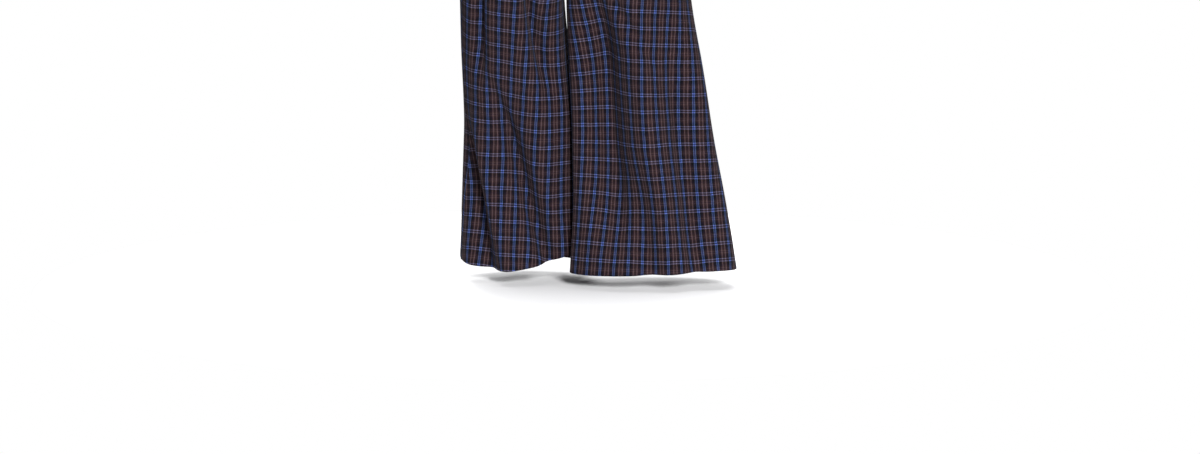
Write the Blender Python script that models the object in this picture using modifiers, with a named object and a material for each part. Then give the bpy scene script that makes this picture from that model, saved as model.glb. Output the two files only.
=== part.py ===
"""Wide-leg trousers in a brushed check cloth, held open in the pose of a stride.

Metres, +Z up. The origin is the middle of the waist opening at the waistband's top edge.
The garment's front faces -Y and its left leg is at +X. A drop is a distance below that edge.

Each leg is a family of rings, a row each in its table. Above the crotch the rings of both
legs run into one another, and the middle plane cuts them where the halves are sewn
together. An angle goes round a ring from the outer side: -90 is the front, 90 the back and
180 the inner side. Folds are soft ridges and troughs raised along the rings.
"""

import math
from collections import namedtuple

import bmesh
import bpy
import numpy as np

# The cut
BAND_HEIGHT = 0.040
HIP_DROP = 0.200
CROTCH_DROP = 0.285
HEM_DROP = 1.040
HEM_TURN_UP = 0.035
CLOTH_WALL = 0.0016
HEM_WALL = 0.0028
BAND_WALL = 0.0026
SEAM_GAP = 0.0004

# The waistband's lap: its left end lies over its right end
LAP_OVER = 0.022
LAP_UNDER = 0.018
LAP_RISE = 0.060
LAP_MARGIN = 0.009

# How closely the band and the shield follow their curves
BAND_COLUMNS = 96
BAND_ROWS = 3
SHIELD_COLUMNS = 8
SHIELD_ROWS = 10

# The shield behind the fly
SHIELD_LEFT = 0.018
SHIELD_RIGHT = 0.022
SHIELD_BOTTOM = 0.185
SHIELD_ROUNDING = 0.012
SHIELD_ROUNDED = 0.035
SHIELD_GAP = 0.0013

# The button
BUTTON_RADIUS = 0.0085
BUTTON_THICKNESS = 0.0034
BUTTON_RIM = 0.0018
BUTTON_DISH = 0.0008
BUTTON_EDGE = 0.0004
BUTTON_HOLE = 0.0009
BUTTON_HOLE_RADIUS = 0.0019
BUTTON_HOLES = 4
BUTTON_SIDES = 32
HOLE_SIDES = 12

# How the legs keep clear of each other, and the run below the crotch in which they part
LEG_CLEARANCE = 0.003
SEAM_SOFTNESS = 0.0002
PRESSED_SOFTNESS = 0.004
CLEARANCE_RUN = 0.15

# Where the middle seam holds the cloth, so that no fold stands up beside it
SEWN_DOWN_WIDTH = 0.03
SEWN_DOWN_RUN = 0.06

# The share of a fold's length in which it rises at each end
FOLD_FADE = 1 / 3

# The share of a ring's turn by which the seams swing back with it
SEAM_SWING = 0.70

# How fine the walls are
PANEL_COLUMNS = 30
SEAM_COLUMN_SHARE = 0.25
HIP_ROWS = 5
CROTCH_ROWS = 7
THIGH_ROWS = 7
SHIN_ROWS = 11
HEM_ROWS = 2
KNEE_DROP = 0.626

# Ring: the centre is "out" from the middle plane and "fore" along Y, and "turn" swings the
# ring's depth outwards at the back, in degrees
Ring = namedtuple("Ring", "drop out fore half_width half_depth turn")
WAIST_RINGS = (
    Ring(0.000, 0.000, 0.000, 0.1290, 0.0970, 0),
    Ring(BAND_HEIGHT, 0.000, 0.000, 0.1320, 0.1000, 0),
    Ring(0.120, 0.000, 0.003, 0.1580, 0.1210, 0),
    Ring(HIP_DROP, 0.000, 0.006, 0.1770, 0.1370, 0),
    Ring(0.240, 0.047, 0.006, 0.1330, 0.1340, 0),
    Ring(0.266, 0.0755, 0.003, 0.1055, 0.1280, 0),
    Ring(CROTCH_DROP, 0.0908, 0.000, 0.0906, 0.1230, 0),
)
LEFT_RINGS = WAIST_RINGS + (
    Ring(0.420, 0.0890, -0.020, 0.0890, 0.1080, -10),
    Ring(KNEE_DROP, 0.0678, -0.045, 0.0970, 0.0817, -30),
    Ring(0.728, 0.0722, -0.055, 0.1026, 0.0650, -30),
    Ring(0.838, 0.0765, -0.064, 0.1108, 0.0640, -30),
    Ring(0.940, 0.0852, -0.072, 0.1184, 0.0660, -30),
    Ring(HEM_DROP, 0.0884, -0.080, 0.1302, 0.0800, -30),
)
RIGHT_RINGS = WAIST_RINGS + (
    Ring(0.420, 0.0890, 0.020, 0.0870, 0.1080, 10),
    Ring(KNEE_DROP, 0.0730, 0.045, 0.0809, 0.0838, 30),
    Ring(0.728, 0.0606, 0.051, 0.0828, 0.0660, 30),
    Ring(0.838, 0.0426, 0.055, 0.0947, 0.0640, 30),
    Ring(0.940, 0.0398, 0.061, 0.0984, 0.0650, 30),
    Ring(HEM_DROP, 0.0393, 0.065, 0.1038, 0.0787, 30),
)

# Fold: a ridge where the depth is above zero, a trough below it. One that runs off the hem
# ends below it
Fold = namedtuple("Fold", "top top_angle bottom bottom_angle width depth")
LEFT_FOLDS = (
    Fold(0.560, -154, 1.040, -141, 0.024, -0.044),
    Fold(0.600, -116, 1.120, -107, 0.018, 0.015),
    Fold(0.640, -83, 1.140, -88, 0.013, -0.013),
    Fold(0.840, -124, 1.160, -116, 0.014, -0.012),
    Fold(0.620, -58, 1.150, -56, 0.027, 0.010),
    Fold(0.570, -152, 0.740, -98, 0.010, -0.008),
    Fold(0.450, -24, 0.880, -19, 0.018, -0.010),
    Fold(0.560, 40, 0.980, 48, 0.022, -0.010),
    Fold(0.620, 88, 1.120, 98, 0.030, 0.009),
    Fold(0.560, 128, 1.000, 124, 0.020, -0.010),
    Fold(0.500, 62, 0.680, 88, 0.014, 0.005),
    Fold(0.210, -122, 0.420, -62, 0.020, -0.004),
    Fold(0.225, 132, 0.400, 84, 0.022, -0.005),
)
RIGHT_FOLDS = (
    Fold(0.760, 6, 1.220, -78, 0.016, 0.014),
    Fold(0.790, 20, 1.200, -48, 0.019, -0.022),
    Fold(0.508, -71, 0.786, -88, 0.011, -0.020),
    Fold(0.727, -21, 1.101, -93, 0.012, -0.024),
    Fold(0.500, -22, 0.780, -12, 0.011, -0.014),
    Fold(0.613, -64, 0.983, -76, 0.019, 0.009),
    Fold(0.600, 40, 1.120, 46, 0.026, 0.006),
    Fold(0.560, 70, 0.960, 74, 0.022, -0.010),
    Fold(0.600, 118, 1.120, 112, 0.028, 0.009),
    Fold(0.560, 150, 1.000, 146, 0.020, -0.008),
    Fold(0.210, -126, 0.430, -72, 0.020, -0.005),
    Fold(0.225, 134, 0.380, 90, 0.022, -0.004),
)

# Lift: how far the hem is carried up round one angle
Lift = namedtuple("Lift", "angle height spread")
LEFT_LIFTS = (
    Lift(-75, 0.008, 70),
    Lift(95, 0.012, 55),
)
RIGHT_LIFTS = (
    Lift(-112, 0.027, 42),
    Lift(62, 0.018, 60),
)
LIFT_START_DROP = 0.780

Leg = namedtuple("Leg", "side rings folds lifts")
LEFT = Leg(1, LEFT_RINGS, LEFT_FOLDS, LEFT_LIFTS)
RIGHT = Leg(-1, RIGHT_RINGS, RIGHT_FOLDS, RIGHT_LIFTS)

CLOTH_COLOUR = (0.050, 0.043, 0.062)
BUTTON_COLOUR = (0.020, 0.014, 0.016)


def clear_scene():
    for old in list(bpy.data.objects):
        bpy.data.objects.remove(old, do_unlink=True)


def new_collection(name):
    collection = bpy.data.collections.new(name)
    bpy.context.scene.collection.children.link(collection)
    return collection


def new_material(name, colour, roughness):
    material = bpy.data.materials.new(name)
    material.use_nodes = True
    shader = material.node_tree.nodes["Principled BSDF"]
    shader.inputs["Base Color"].default_value = (*colour, 1.0)
    shader.inputs["Roughness"].default_value = roughness
    shader.inputs["Metallic"].default_value = 0.0
    return material


def ease(amount):
    """0 below 0 and 1 above 1, with a soft start and end."""
    held = np.clip(amount, 0.0, 1.0)
    return held * held * (3.0 - 2.0 * held)


def through_rows(rows, drops):
    """The table's other columns at any drops, by cubics that pass its rows without overshoot."""
    table = np.array(rows, float)
    at = table[:, 0]
    values = table[:, 1:]
    run = np.diff(at)[:, None]
    rise = np.diff(values, axis=0) / run
    before = rise[:-1]
    after = rise[1:]
    same_way = before * after > 0
    total = np.where(same_way, before + after, 1.0)
    slope = np.vstack([rise[:1], np.where(same_way, 2 * before * after / total, 0.0), rise[-1:]])
    row = np.clip(np.searchsorted(at, drops) - 1, 0, len(run) - 1)
    part = ((drops - at[row]) / run[row, 0])[..., None]
    start = values[row] * (1 + 2 * part) * (1 - part) ** 2
    end = values[row + 1] * part**2 * (3 - 2 * part)
    start_slope = slope[row] * run[row] * part * (1 - part) ** 2
    end_slope = slope[row + 1] * run[row] * part**2 * (part - 1)
    return np.moveaxis(start + end + start_slope + end_slope, -1, 0)


def wrapped(angles):
    return (angles + 180.0) % 360.0 - 180.0


def lifted(leg, drops, angles):
    """The drops after parts of the hem are carried up."""
    height = sum(
        lift.height * np.exp(-((wrapped(angles - lift.angle) / lift.spread) ** 2))
        for lift in leg.lifts
    )
    return drops - height * ease((drops - LIFT_START_DROP) / (HEM_DROP - LIFT_START_DROP))


def fold_heights(leg, drops, angles, radius):
    """How far the folds stand out from the plain rings."""
    total = np.zeros_like(drops)
    for fold in leg.folds:
        along = (drops - fold.top) / (fold.bottom - fold.top)
        fade = ease(along / FOLD_FADE) * ease((1.0 - along) / FOLD_FADE)
        middle = fold.top_angle + (fold.bottom_angle - fold.top_angle) * along
        across = np.radians(wrapped(angles - middle)) * radius / fold.width
        total += fold.depth * fade * np.exp(-(across**2))
    return total


def reach(ring, direction):
    """Half the size of a ring in one direction of its own leg's plane."""
    turn = np.radians(ring[4])
    wide = direction[0] * np.cos(turn) + direction[1] * np.sin(turn)
    deep = direction[1] * np.cos(turn) - direction[0] * np.sin(turn)
    return np.hypot(ring[2] * wide, ring[3] * deep)


def kept_apart(leg, drops, x, y):
    """Presses the facing sides of the two legs softly against a plane between them."""
    left = through_rows(LEFT.rings, drops)
    right = through_rows(RIGHT.rings, drops)
    across = np.array([left[0] + right[0], left[1] - right[1]])
    span = np.hypot(across[0], across[1])
    normal = across / np.maximum(span, 1e-6)
    left_reach = reach(left, normal)
    right_reach = reach(right, (-normal[0], normal[1]))
    middle = (right_reach + span - left_reach) / 2
    from_right = (x + right[0]) * normal[0] + (y - right[1]) * normal[1]
    distance = leg.side * (from_right - middle)
    below = ease((drops - CROTCH_DROP) / CLEARANCE_RUN)
    clear = SEAM_GAP / 2 + (LEG_CLEARANCE - SEAM_GAP) / 2 * below
    soft = SEAM_SOFTNESS + PRESSED_SOFTNESS * below
    pressed = clear + soft * np.logaddexp(0.0, (distance - clear) / soft)
    push = np.where(drops > CROTCH_DROP, leg.side * (pressed - distance), 0.0)
    return x + normal[0] * push, y + normal[1] * push


def leg_surface(leg, drops, angles, outwards=0.0):
    """World points on a leg's outer side, at drops and angles of one grid."""
    at = lifted(leg, drops, angles)
    out, fore, wide, deep, turn_degrees = through_rows(leg.rings, at)
    turn = np.radians(turn_degrees)
    cosine = np.cos(np.radians(angles) - turn)
    sine = np.sin(np.radians(angles) - turn)
    slant = np.hypot(cosine / wide, sine / deep)
    folds = fold_heights(leg, at, angles, (wide + deep) / 2)
    x_plain = out + wide * cosine * np.cos(turn) - deep * sine * np.sin(turn)
    beside_seam = 1 - ease(x_plain / SEWN_DOWN_WIDTH)
    sewn_down = beside_seam * (1 - ease((at - CROTCH_DROP) / SEWN_DOWN_RUN))
    offset = (folds * (1 - sewn_down) + outwards) / slant
    along_width = wide * cosine + offset * cosine / wide
    along_depth = deep * sine + offset * sine / deep
    x = out + along_width * np.cos(turn) - along_depth * np.sin(turn)
    y = fore + along_width * np.sin(turn) + along_depth * np.cos(turn)
    x, y = kept_apart(leg, at, leg.side * x, y)
    return np.stack([x, y, -at], axis=-1)


def panel_drops():
    """A drop for each row, closer together at the crotch curve and the hem."""
    return np.concatenate(
        [
            np.linspace(BAND_HEIGHT + SEAM_GAP, HIP_DROP, HIP_ROWS + 1)[:-1],
            np.linspace(HIP_DROP, CROTCH_DROP, CROTCH_ROWS + 1)[:-1],
            np.linspace(CROTCH_DROP, KNEE_DROP, THIGH_ROWS + 1)[:-1],
            np.linspace(KNEE_DROP, HEM_DROP - HEM_TURN_UP, SHIN_ROWS + 1)[:-1],
            np.linspace(HEM_DROP - HEM_TURN_UP, HEM_DROP, HEM_ROWS + 1),
        ]
    )


def column_shares():
    """Places of the columns across a panel, 0 to 1, with a narrow column at each seam."""
    widths = np.ones(PANEL_COLUMNS)
    widths[0] = SEAM_COLUMN_SHARE
    widths[-1] = SEAM_COLUMN_SHARE
    return np.concatenate([[0.0], np.cumsum(widths) / widths.sum()])


def panel_grid(leg, which):
    """Drops and angles of a front or back panel, from one side seam to the other."""
    drops = panel_drops()
    _, _, _, deep, turn = through_rows(leg.rings, drops)
    gap = np.degrees(SEAM_GAP / 2 / deep)[:, None]
    angles = gap + (180.0 - 2 * gap) * column_shares()[None, :]
    if which == "front":
        angles = -angles[:, ::-1]
    angles = angles + SEAM_SWING * turn[:, None]
    return np.repeat(drops[:, None], angles.shape[1], axis=1), angles


def lofted_mesh(name, points, outside_is_left):
    """A mesh over a grid of points, its faces turned outwards."""
    rows, columns = points.shape[:2]
    corners = np.arange(rows * columns).reshape(rows, columns)
    faces = np.stack(
        [corners[:-1, :-1], corners[1:, :-1], corners[1:, 1:], corners[:-1, 1:]], axis=-1
    ).reshape(-1, 4)
    if not outside_is_left:
        faces = faces[:, ::-1]
    mesh = bpy.data.meshes.new(name)
    mesh.from_pydata(points.reshape(-1, 3).tolist(), [], faces.tolist())
    mesh.shade_smooth()
    return mesh


def cloth_piece(name, points, outside_is_left, wall, material, collection):
    """An open surface with a wall behind it."""
    piece = bpy.data.objects.new(name, lofted_mesh(name, points, outside_is_left))
    piece.data.materials.append(material)
    solidify = piece.modifiers.new("wall", "SOLIDIFY")
    solidify.thickness = wall
    solidify.offset = -1.0
    solidify.use_even_offset = True
    collection.objects.link(piece)
    return piece


def thicken_hem(piece, drops):
    """Makes the wall as thick as two layers where the hem is turned up inside."""
    group = piece.vertex_groups.new(name="turned_up")
    turned_up = np.flatnonzero(drops.reshape(-1) > HEM_DROP - HEM_TURN_UP + 0.001)
    group.add(turned_up.tolist(), 1.0, "REPLACE")
    solidify = piece.modifiers["wall"]
    solidify.thickness = HEM_WALL
    solidify.vertex_group = group.name
    solidify.thickness_vertex_group = CLOTH_WALL / HEM_WALL


def cut_at_middle(piece, side):
    """Ends the rings above the crotch at the seam in the middle plane."""
    shape = bmesh.new()
    shape.from_mesh(piece.data)
    torso = [f for f in shape.faces if min(v.co.z for v in f.verts) > -CROTCH_DROP - 0.001]
    edges = {edge for face in torso for edge in face.edges}
    points = {point for face in torso for point in face.verts}
    bmesh.ops.bisect_plane(
        shape,
        geom=[*points, *edges, *torso],
        dist=0.00001,
        plane_co=(side * SEAM_GAP / 2, 0, 0),
        plane_no=(-side, 0, 0),
        clear_outer=True,
    )
    shape.to_mesh(piece.data)
    shape.free()


def build_panels(collection):
    for leg, side_name in ((LEFT, "left"), (RIGHT, "right")):
        for which in ("front", "back"):
            name = f"{which}_{side_name}"
            material = new_material(f"cloth_{name}", CLOTH_COLOUR, 0.95)
            drops, angles = panel_grid(leg, which)
            points = leg_surface(leg, drops, angles)
            piece = cloth_piece(name, points, leg.side > 0, HEM_WALL, material, collection)
            thicken_hem(piece, drops)
            cut_at_middle(piece, leg.side)


def band_surface(drops, angles, outwards):
    """World points on the waist's ring, pushed out by some amount."""
    _, _, wide, deep, _ = through_rows(WAIST_RINGS, drops)
    cosine = np.cos(np.radians(angles))
    sine = np.sin(np.radians(angles))
    slant = np.hypot(cosine / wide, sine / deep)
    x = wide * cosine + outwards / slant * cosine / wide
    y = deep * sine + outwards / slant * sine / deep
    return np.stack([x, y, -drops], axis=-1)


def build_waistband(collection):
    """One strip round the waist, whose left end lies over its right end at the front."""
    front_width = WAIST_RINGS[0].half_width
    under_end = -90.0 + math.degrees(LAP_UNDER / front_width)
    over_end = -450.0 - math.degrees(LAP_OVER / front_width)
    angle_row = np.linspace(under_end, over_end, BAND_COLUMNS + 1)
    drop_column = np.linspace(0.0, BAND_HEIGHT, BAND_ROWS + 1)
    drops, angles = np.meshgrid(drop_column, angle_row, indexing="ij")
    rise_end = -450.0 + math.degrees((LAP_UNDER + LAP_MARGIN) / front_width)
    rise_start = rise_end + math.degrees(LAP_RISE / front_width)
    risen = ease((rise_start - angles) / (rise_start - rise_end))
    outwards = (BAND_WALL + SEAM_GAP) * risen
    points = band_surface(drops, angles, outwards)
    material = new_material("cloth_waistband", CLOTH_COLOUR, 0.95)
    cloth_piece("waistband", points, False, BAND_WALL, material, collection)


def build_fly_shield(collection):
    """The strip that lies behind the fly, made from the front's own surface moved inwards."""
    x_row = np.linspace(-SHIELD_RIGHT, SHIELD_LEFT, SHIELD_COLUMNS + 1)
    drop_column = np.linspace(BAND_HEIGHT + SEAM_GAP, SHIELD_BOTTOM, SHIELD_ROWS + 1)
    drops, across = np.meshgrid(drop_column, x_row, indexing="ij")
    low = ease((drops - SHIELD_BOTTOM + SHIELD_ROUNDED) / SHIELD_ROUNDED)
    drops = drops - (across / SHIELD_RIGHT) ** 2 * SHIELD_ROUNDING * low
    _, fore, wide, deep, _ = through_rows(WAIST_RINGS, drops)
    behind = CLOTH_WALL + SHIELD_GAP
    y = fore - deep * np.sqrt(1 - (across / wide) ** 2) + behind
    points = np.stack([across, y, -drops], axis=-1)
    material = new_material("cloth_fly_shield", CLOTH_COLOUR, 0.95)
    cloth_piece("fly_shield", points, True, CLOTH_WALL, material, collection)


def button_blank(collection, material):
    """A dished disc turned round Z, its face towards +Z."""
    half = BUTTON_THICKNESS / 2
    inner = BUTTON_RADIUS - BUTTON_RIM
    profile = (
        (0.0, half - BUTTON_DISH),
        (inner * 0.8, half - BUTTON_DISH),
        (inner, half - BUTTON_DISH * 0.3),
        (BUTTON_RADIUS - BUTTON_RIM * 0.5, half),
        (BUTTON_RADIUS - BUTTON_EDGE, half - BUTTON_EDGE),
        (BUTTON_RADIUS, half - 3 * BUTTON_EDGE),
        (BUTTON_RADIUS - BUTTON_EDGE, BUTTON_EDGE - half),
        (BUTTON_RADIUS - 3 * BUTTON_EDGE, -half),
        (0.0, -half),
    )
    mesh = bpy.data.meshes.new("button")
    points = [(radius, 0.0, height) for radius, height in profile]
    edges = [(index, index + 1) for index in range(len(points) - 1)]
    mesh.from_pydata(points, edges, [])
    mesh.materials.append(material)
    button = bpy.data.objects.new("button", mesh)
    collection.objects.link(button)
    turned = button.modifiers.new("turned", "SCREW")
    turned.steps = BUTTON_SIDES
    turned.render_steps = BUTTON_SIDES
    turned.use_merge_vertices = True
    turned.merge_threshold = 0.00001
    return button


def hole_cutters(button, cutters):
    """Pins through the button where the thread passes."""
    for index in range(BUTTON_HOLES):
        angle = math.radians(45 + 360 * index / BUTTON_HOLES)
        shape = bmesh.new()
        bmesh.ops.create_cone(
            shape, cap_ends=True, segments=HOLE_SIDES,
            radius1=BUTTON_HOLE, radius2=BUTTON_HOLE, depth=BUTTON_THICKNESS * 3,
        )
        mesh = bpy.data.meshes.new(f"hole_{index}")
        shape.to_mesh(mesh)
        shape.free()
        pin = bpy.data.objects.new(f"hole_{index}", mesh)
        pin.location = (
            BUTTON_HOLE_RADIUS * math.cos(angle), BUTTON_HOLE_RADIUS * math.sin(angle), 0.0
        )
        pin.parent = button
        pin.hide_render = True
        pin.display_type = "WIRE"
        cutters.objects.link(pin)
        cut = button.modifiers.new(f"hole_{index}", "BOOLEAN")
        cut.object = pin
        cut.operation = "DIFFERENCE"


def build_button(collection, cutters):
    """Turned about Z, then stood against the waistband's front, facing -Y."""
    material = new_material("button_horn", BUTTON_COLOUR, 0.35)
    button = button_blank(collection, material)
    hole_cutters(button, cutters)
    drop = np.array(BAND_HEIGHT / 2)
    lap = BAND_WALL + SEAM_GAP
    front = band_surface(drop, np.array(-90.0), lap + SEAM_GAP)
    slope = (WAIST_RINGS[1].half_depth - WAIST_RINGS[0].half_depth) / BAND_HEIGHT
    tilt = math.atan(slope)
    middle = BUTTON_THICKNESS / 2
    button.location = (
        0.0, front[1] - middle * math.cos(tilt), front[2] + middle * math.sin(tilt)
    )
    button.rotation_euler = (math.radians(90.0) - tilt, 0.0, 0.0)


def main():
    clear_scene()
    trousers = new_collection("plaid_wide_leg_trousers")
    cutters = new_collection("cutters")
    build_panels(trousers)
    build_waistband(trousers)
    build_fly_shield(trousers)
    build_button(trousers, cutters)


main()
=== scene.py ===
# %% [markdown]
# # Wide-leg trousers in a brushed check
#
# The trousers hang from the waist in mid-stride, with one leg forward and the other back.
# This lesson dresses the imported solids: each cut panel becomes a thin sheet of cloth with
# its folds, its turned-up hem and a woven check that follows the threads.
#
# The frame comes first, because every piece is placed in its metres.

# %% Load the frame
import math
from collections import namedtuple
from functools import partial

import bmesh
import bpy
import numpy as np
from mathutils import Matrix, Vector


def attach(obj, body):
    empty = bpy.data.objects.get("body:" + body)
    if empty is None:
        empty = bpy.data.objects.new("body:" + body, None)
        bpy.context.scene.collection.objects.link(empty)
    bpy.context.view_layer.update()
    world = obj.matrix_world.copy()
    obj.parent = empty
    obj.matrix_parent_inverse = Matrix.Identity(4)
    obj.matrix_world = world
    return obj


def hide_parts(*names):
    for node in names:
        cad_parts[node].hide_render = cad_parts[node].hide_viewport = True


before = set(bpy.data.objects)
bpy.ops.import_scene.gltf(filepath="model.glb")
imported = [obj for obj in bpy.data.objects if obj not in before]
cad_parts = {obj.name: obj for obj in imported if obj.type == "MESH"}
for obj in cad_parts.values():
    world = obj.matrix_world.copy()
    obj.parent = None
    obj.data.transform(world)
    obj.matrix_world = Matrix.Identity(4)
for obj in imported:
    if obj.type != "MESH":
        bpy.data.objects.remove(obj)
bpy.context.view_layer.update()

print("CAD nodes:", ", ".join(sorted(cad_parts)))

# %% [markdown]
# ## Sizes of the cut
#
# A drop is a distance below the waist's top edge. The garment's front faces -Y and its
# left leg is at +X. The cloth is a brushed cotton flannel about one millimetre thick, and
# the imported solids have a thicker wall.

# %% Sizes of the cut
BAND_HEIGHT = 0.040
HIP_DROP = 0.200
CROTCH_DROP = 0.285
KNEE_DROP = 0.626
HEM_DROP = 1.040
HEM_TURN_UP = 0.035
CLOTH_WALL = 0.0010
SOLID_WALL = 0.0016
SEAM_GAP = 0.0004
TINY = 1e-6

# %% [markdown]
# ## The rings of the two legs
#
# Trousers can be modelled as a tube for each leg, lofted through rings at named drops.
# A ring is an ellipse with a centre and a turn. Above the crotch the two tubes run into
# one another, and the middle plane cuts them where the halves are sewn together.
# A cubic that never overshoots runs through the rows of the table.

# %% Ring tables
Ring = namedtuple("Ring", "drop out fore half_width half_depth turn")
WAIST_RINGS = (
    Ring(0.000, 0.000, 0.000, 0.1290, 0.0970, 0),
    Ring(BAND_HEIGHT, 0.000, 0.000, 0.1320, 0.1000, 0),
    Ring(0.120, 0.000, 0.003, 0.1580, 0.1210, 0),
    Ring(HIP_DROP, 0.000, 0.006, 0.1770, 0.1370, 0),
    Ring(0.240, 0.047, 0.006, 0.1330, 0.1340, 0),
    Ring(0.266, 0.0755, 0.003, 0.1055, 0.1280, 0),
    Ring(CROTCH_DROP, 0.0908, 0.000, 0.0906, 0.1230, 0),
)
LEFT_RINGS = WAIST_RINGS + (
    Ring(0.420, 0.0890, -0.020, 0.0890, 0.1080, -10),
    Ring(KNEE_DROP, 0.0678, -0.045, 0.0970, 0.0817, -30),
    Ring(0.728, 0.0722, -0.055, 0.1026, 0.0650, -30),
    Ring(0.838, 0.0765, -0.064, 0.1108, 0.0640, -30),
    Ring(0.940, 0.0852, -0.072, 0.1184, 0.0660, -30),
    Ring(HEM_DROP, 0.0884, -0.080, 0.1302, 0.0800, -30),
)
RIGHT_RINGS = WAIST_RINGS + (
    Ring(0.420, 0.0890, 0.020, 0.0870, 0.1080, 10),
    Ring(KNEE_DROP, 0.0730, 0.045, 0.0809, 0.0838, 30),
    Ring(0.728, 0.0606, 0.051, 0.0828, 0.0660, 30),
    Ring(0.838, 0.0426, 0.055, 0.0947, 0.0640, 30),
    Ring(0.940, 0.0398, 0.061, 0.0984, 0.0650, 30),
    Ring(HEM_DROP, 0.0393, 0.065, 0.1038, 0.0787, 30),
)
SEAM_SWING = 0.70


def ease(amount):
    """0 below 0 and 1 above 1, with a soft start and end."""
    held = np.clip(amount, 0.0, 1.0)
    return held * held * (3.0 - 2.0 * held)


def through_rows(rows, drops):
    """The table's other columns at any drops, by cubics that pass its rows without overshoot."""
    table = np.array(rows, float)
    at = table[:, 0]
    values = table[:, 1:]
    run = np.diff(at)[:, None]
    rise = np.diff(values, axis=0) / run
    before = rise[:-1]
    after = rise[1:]
    same_way = before * after > 0
    total = np.where(same_way, before + after, 1.0)
    slope = np.vstack([rise[:1], np.where(same_way, 2 * before * after / total, 0.0), rise[-1:]])
    row = np.clip(np.searchsorted(at, drops) - 1, 0, len(run) - 1)
    part = ((drops - at[row]) / run[row, 0])[..., None]
    start = values[row] * (1 + 2 * part) * (1 - part) ** 2
    end = values[row + 1] * part**2 * (3 - 2 * part)
    start_slope = slope[row] * run[row] * part * (1 - part) ** 2
    end_slope = slope[row + 1] * run[row] * part**2 * (part - 1)
    return np.moveaxis(start + end + start_slope + end_slope, -1, 0)


# %% [markdown]
# ## Folds
#
# Worn cloth folds where it hangs from the thigh and the knee. A fold could come from a
# cloth simulation, but the photograph shows exactly where each one runs. So each is a row
# of a table: it starts at one drop and angle, ends at another, and has a width and a
# depth. Below zero it is a trough. An angle goes round the ring from the outer side:
# -90 is the front, 90 the back and 180 the inner side.

# %% Fold tables
Fold = namedtuple("Fold", "top top_angle bottom bottom_angle width depth")
LEFT_FOLDS = (
    Fold(0.560, -154, 1.040, -141, 0.024, -0.044),
    Fold(0.600, -116, 1.120, -107, 0.018, 0.015),
    Fold(0.640, -83, 1.140, -88, 0.013, -0.013),
    Fold(0.840, -124, 1.160, -116, 0.014, -0.012),
    Fold(0.620, -58, 1.150, -56, 0.027, 0.010),
    Fold(0.570, -152, 0.740, -98, 0.010, -0.008),
    Fold(0.450, -24, 0.880, -19, 0.018, -0.010),
    Fold(0.560, 40, 0.980, 48, 0.022, -0.010),
    Fold(0.620, 88, 1.120, 98, 0.030, 0.009),
    Fold(0.560, 128, 1.000, 124, 0.020, -0.010),
    Fold(0.500, 62, 0.680, 88, 0.014, 0.005),
    Fold(0.210, -122, 0.420, -62, 0.020, -0.004),
    Fold(0.225, 132, 0.400, 84, 0.022, -0.005),
)
RIGHT_FOLDS = (
    Fold(0.760, 6, 1.220, -78, 0.016, 0.014),
    Fold(0.790, 20, 1.200, -48, 0.019, -0.022),
    Fold(0.508, -71, 0.786, -88, 0.011, -0.020),
    Fold(0.727, -21, 1.101, -93, 0.012, -0.024),
    Fold(0.500, -22, 0.780, -12, 0.011, -0.014),
    Fold(0.613, -64, 0.983, -76, 0.019, 0.009),
    Fold(0.600, 40, 1.120, 46, 0.026, 0.006),
    Fold(0.560, 70, 0.960, 74, 0.022, -0.010),
    Fold(0.600, 118, 1.120, 112, 0.028, 0.009),
    Fold(0.560, 150, 1.000, 146, 0.020, -0.008),
    Fold(0.210, -126, 0.430, -72, 0.020, -0.005),
    Fold(0.225, 134, 0.380, 90, 0.022, -0.004),
)
FOLD_FADE = 1 / 3


def wrapped(angles):
    """Angles brought between -180 and 180 degrees."""
    return (angles + 180.0) % 360.0 - 180.0


def fold_heights(folds, drops, angles, radius):
    """How far the folds stand out from the plain rings."""
    total = np.zeros_like(drops)
    for fold in folds:
        along = (drops - fold.top) / (fold.bottom - fold.top)
        fade = ease(along / FOLD_FADE) * ease((1.0 - along) / FOLD_FADE)
        middle = fold.top_angle + (fold.bottom_angle - fold.top_angle) * along
        across = np.radians(wrapped(angles - middle)) * radius / fold.width
        total += fold.depth * fade * np.exp(-(across**2))
    return total


# %% [markdown]
# ## Unevenness
#
# No worn cloth is as smooth as a formula. Many soft, long bumps of less than a
# millimetre, scattered by a fixed seed, break the reflections as on the real flannel.

# %% Soft unevenness
BUMPS_PER_LEG = 240
BUMP_HEIGHT = 0.0009
BUMP_ACROSS = (0.010, 0.026)
BUMP_DOWN = (0.030, 0.090)


def scattered_bumps(seed):
    """Rows of drop, angle, half width, half length and height."""
    chance = np.random.default_rng(seed)
    ranges = (
        (BAND_HEIGHT, HEM_DROP),
        (-180.0, 180.0),
        BUMP_ACROSS,
        BUMP_DOWN,
        (-BUMP_HEIGHT, BUMP_HEIGHT),
    )
    return np.stack([chance.uniform(*ends, BUMPS_PER_LEG) for ends in ranges], axis=-1)


def bump_heights(bumps, drops, angles, radius):
    total = np.zeros_like(drops)
    for drop, angle, half_width, half_length, height in bumps:
        across = np.radians(wrapped(angles - angle)) * radius / half_width
        down = (drops - drop) / half_length
        total += height * np.exp(-(across**2) - down**2)
    return total


# %% [markdown]
# ## Hem lifts and the legs' clearance
#
# The hem rides up a little where the stride carries it, so the drops near the hem are
# lifted by a soft hump at some angles. Where the facing sides of the legs would pass
# through each other they are pressed softly against a plane between them.

# %% Lifts and clearance
Lift = namedtuple("Lift", "angle height spread")
LEFT_LIFTS = (
    Lift(-75, 0.008, 70),
    Lift(95, 0.012, 55),
)
RIGHT_LIFTS = (
    Lift(-112, 0.027, 42),
    Lift(62, 0.018, 60),
)
LIFT_START_DROP = 0.780
LEG_CLEARANCE = 0.003
CLEARANCE_RUN = 0.150
SEAM_SOFTNESS = 0.0002
PRESSED_SOFTNESS = 0.004

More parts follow.
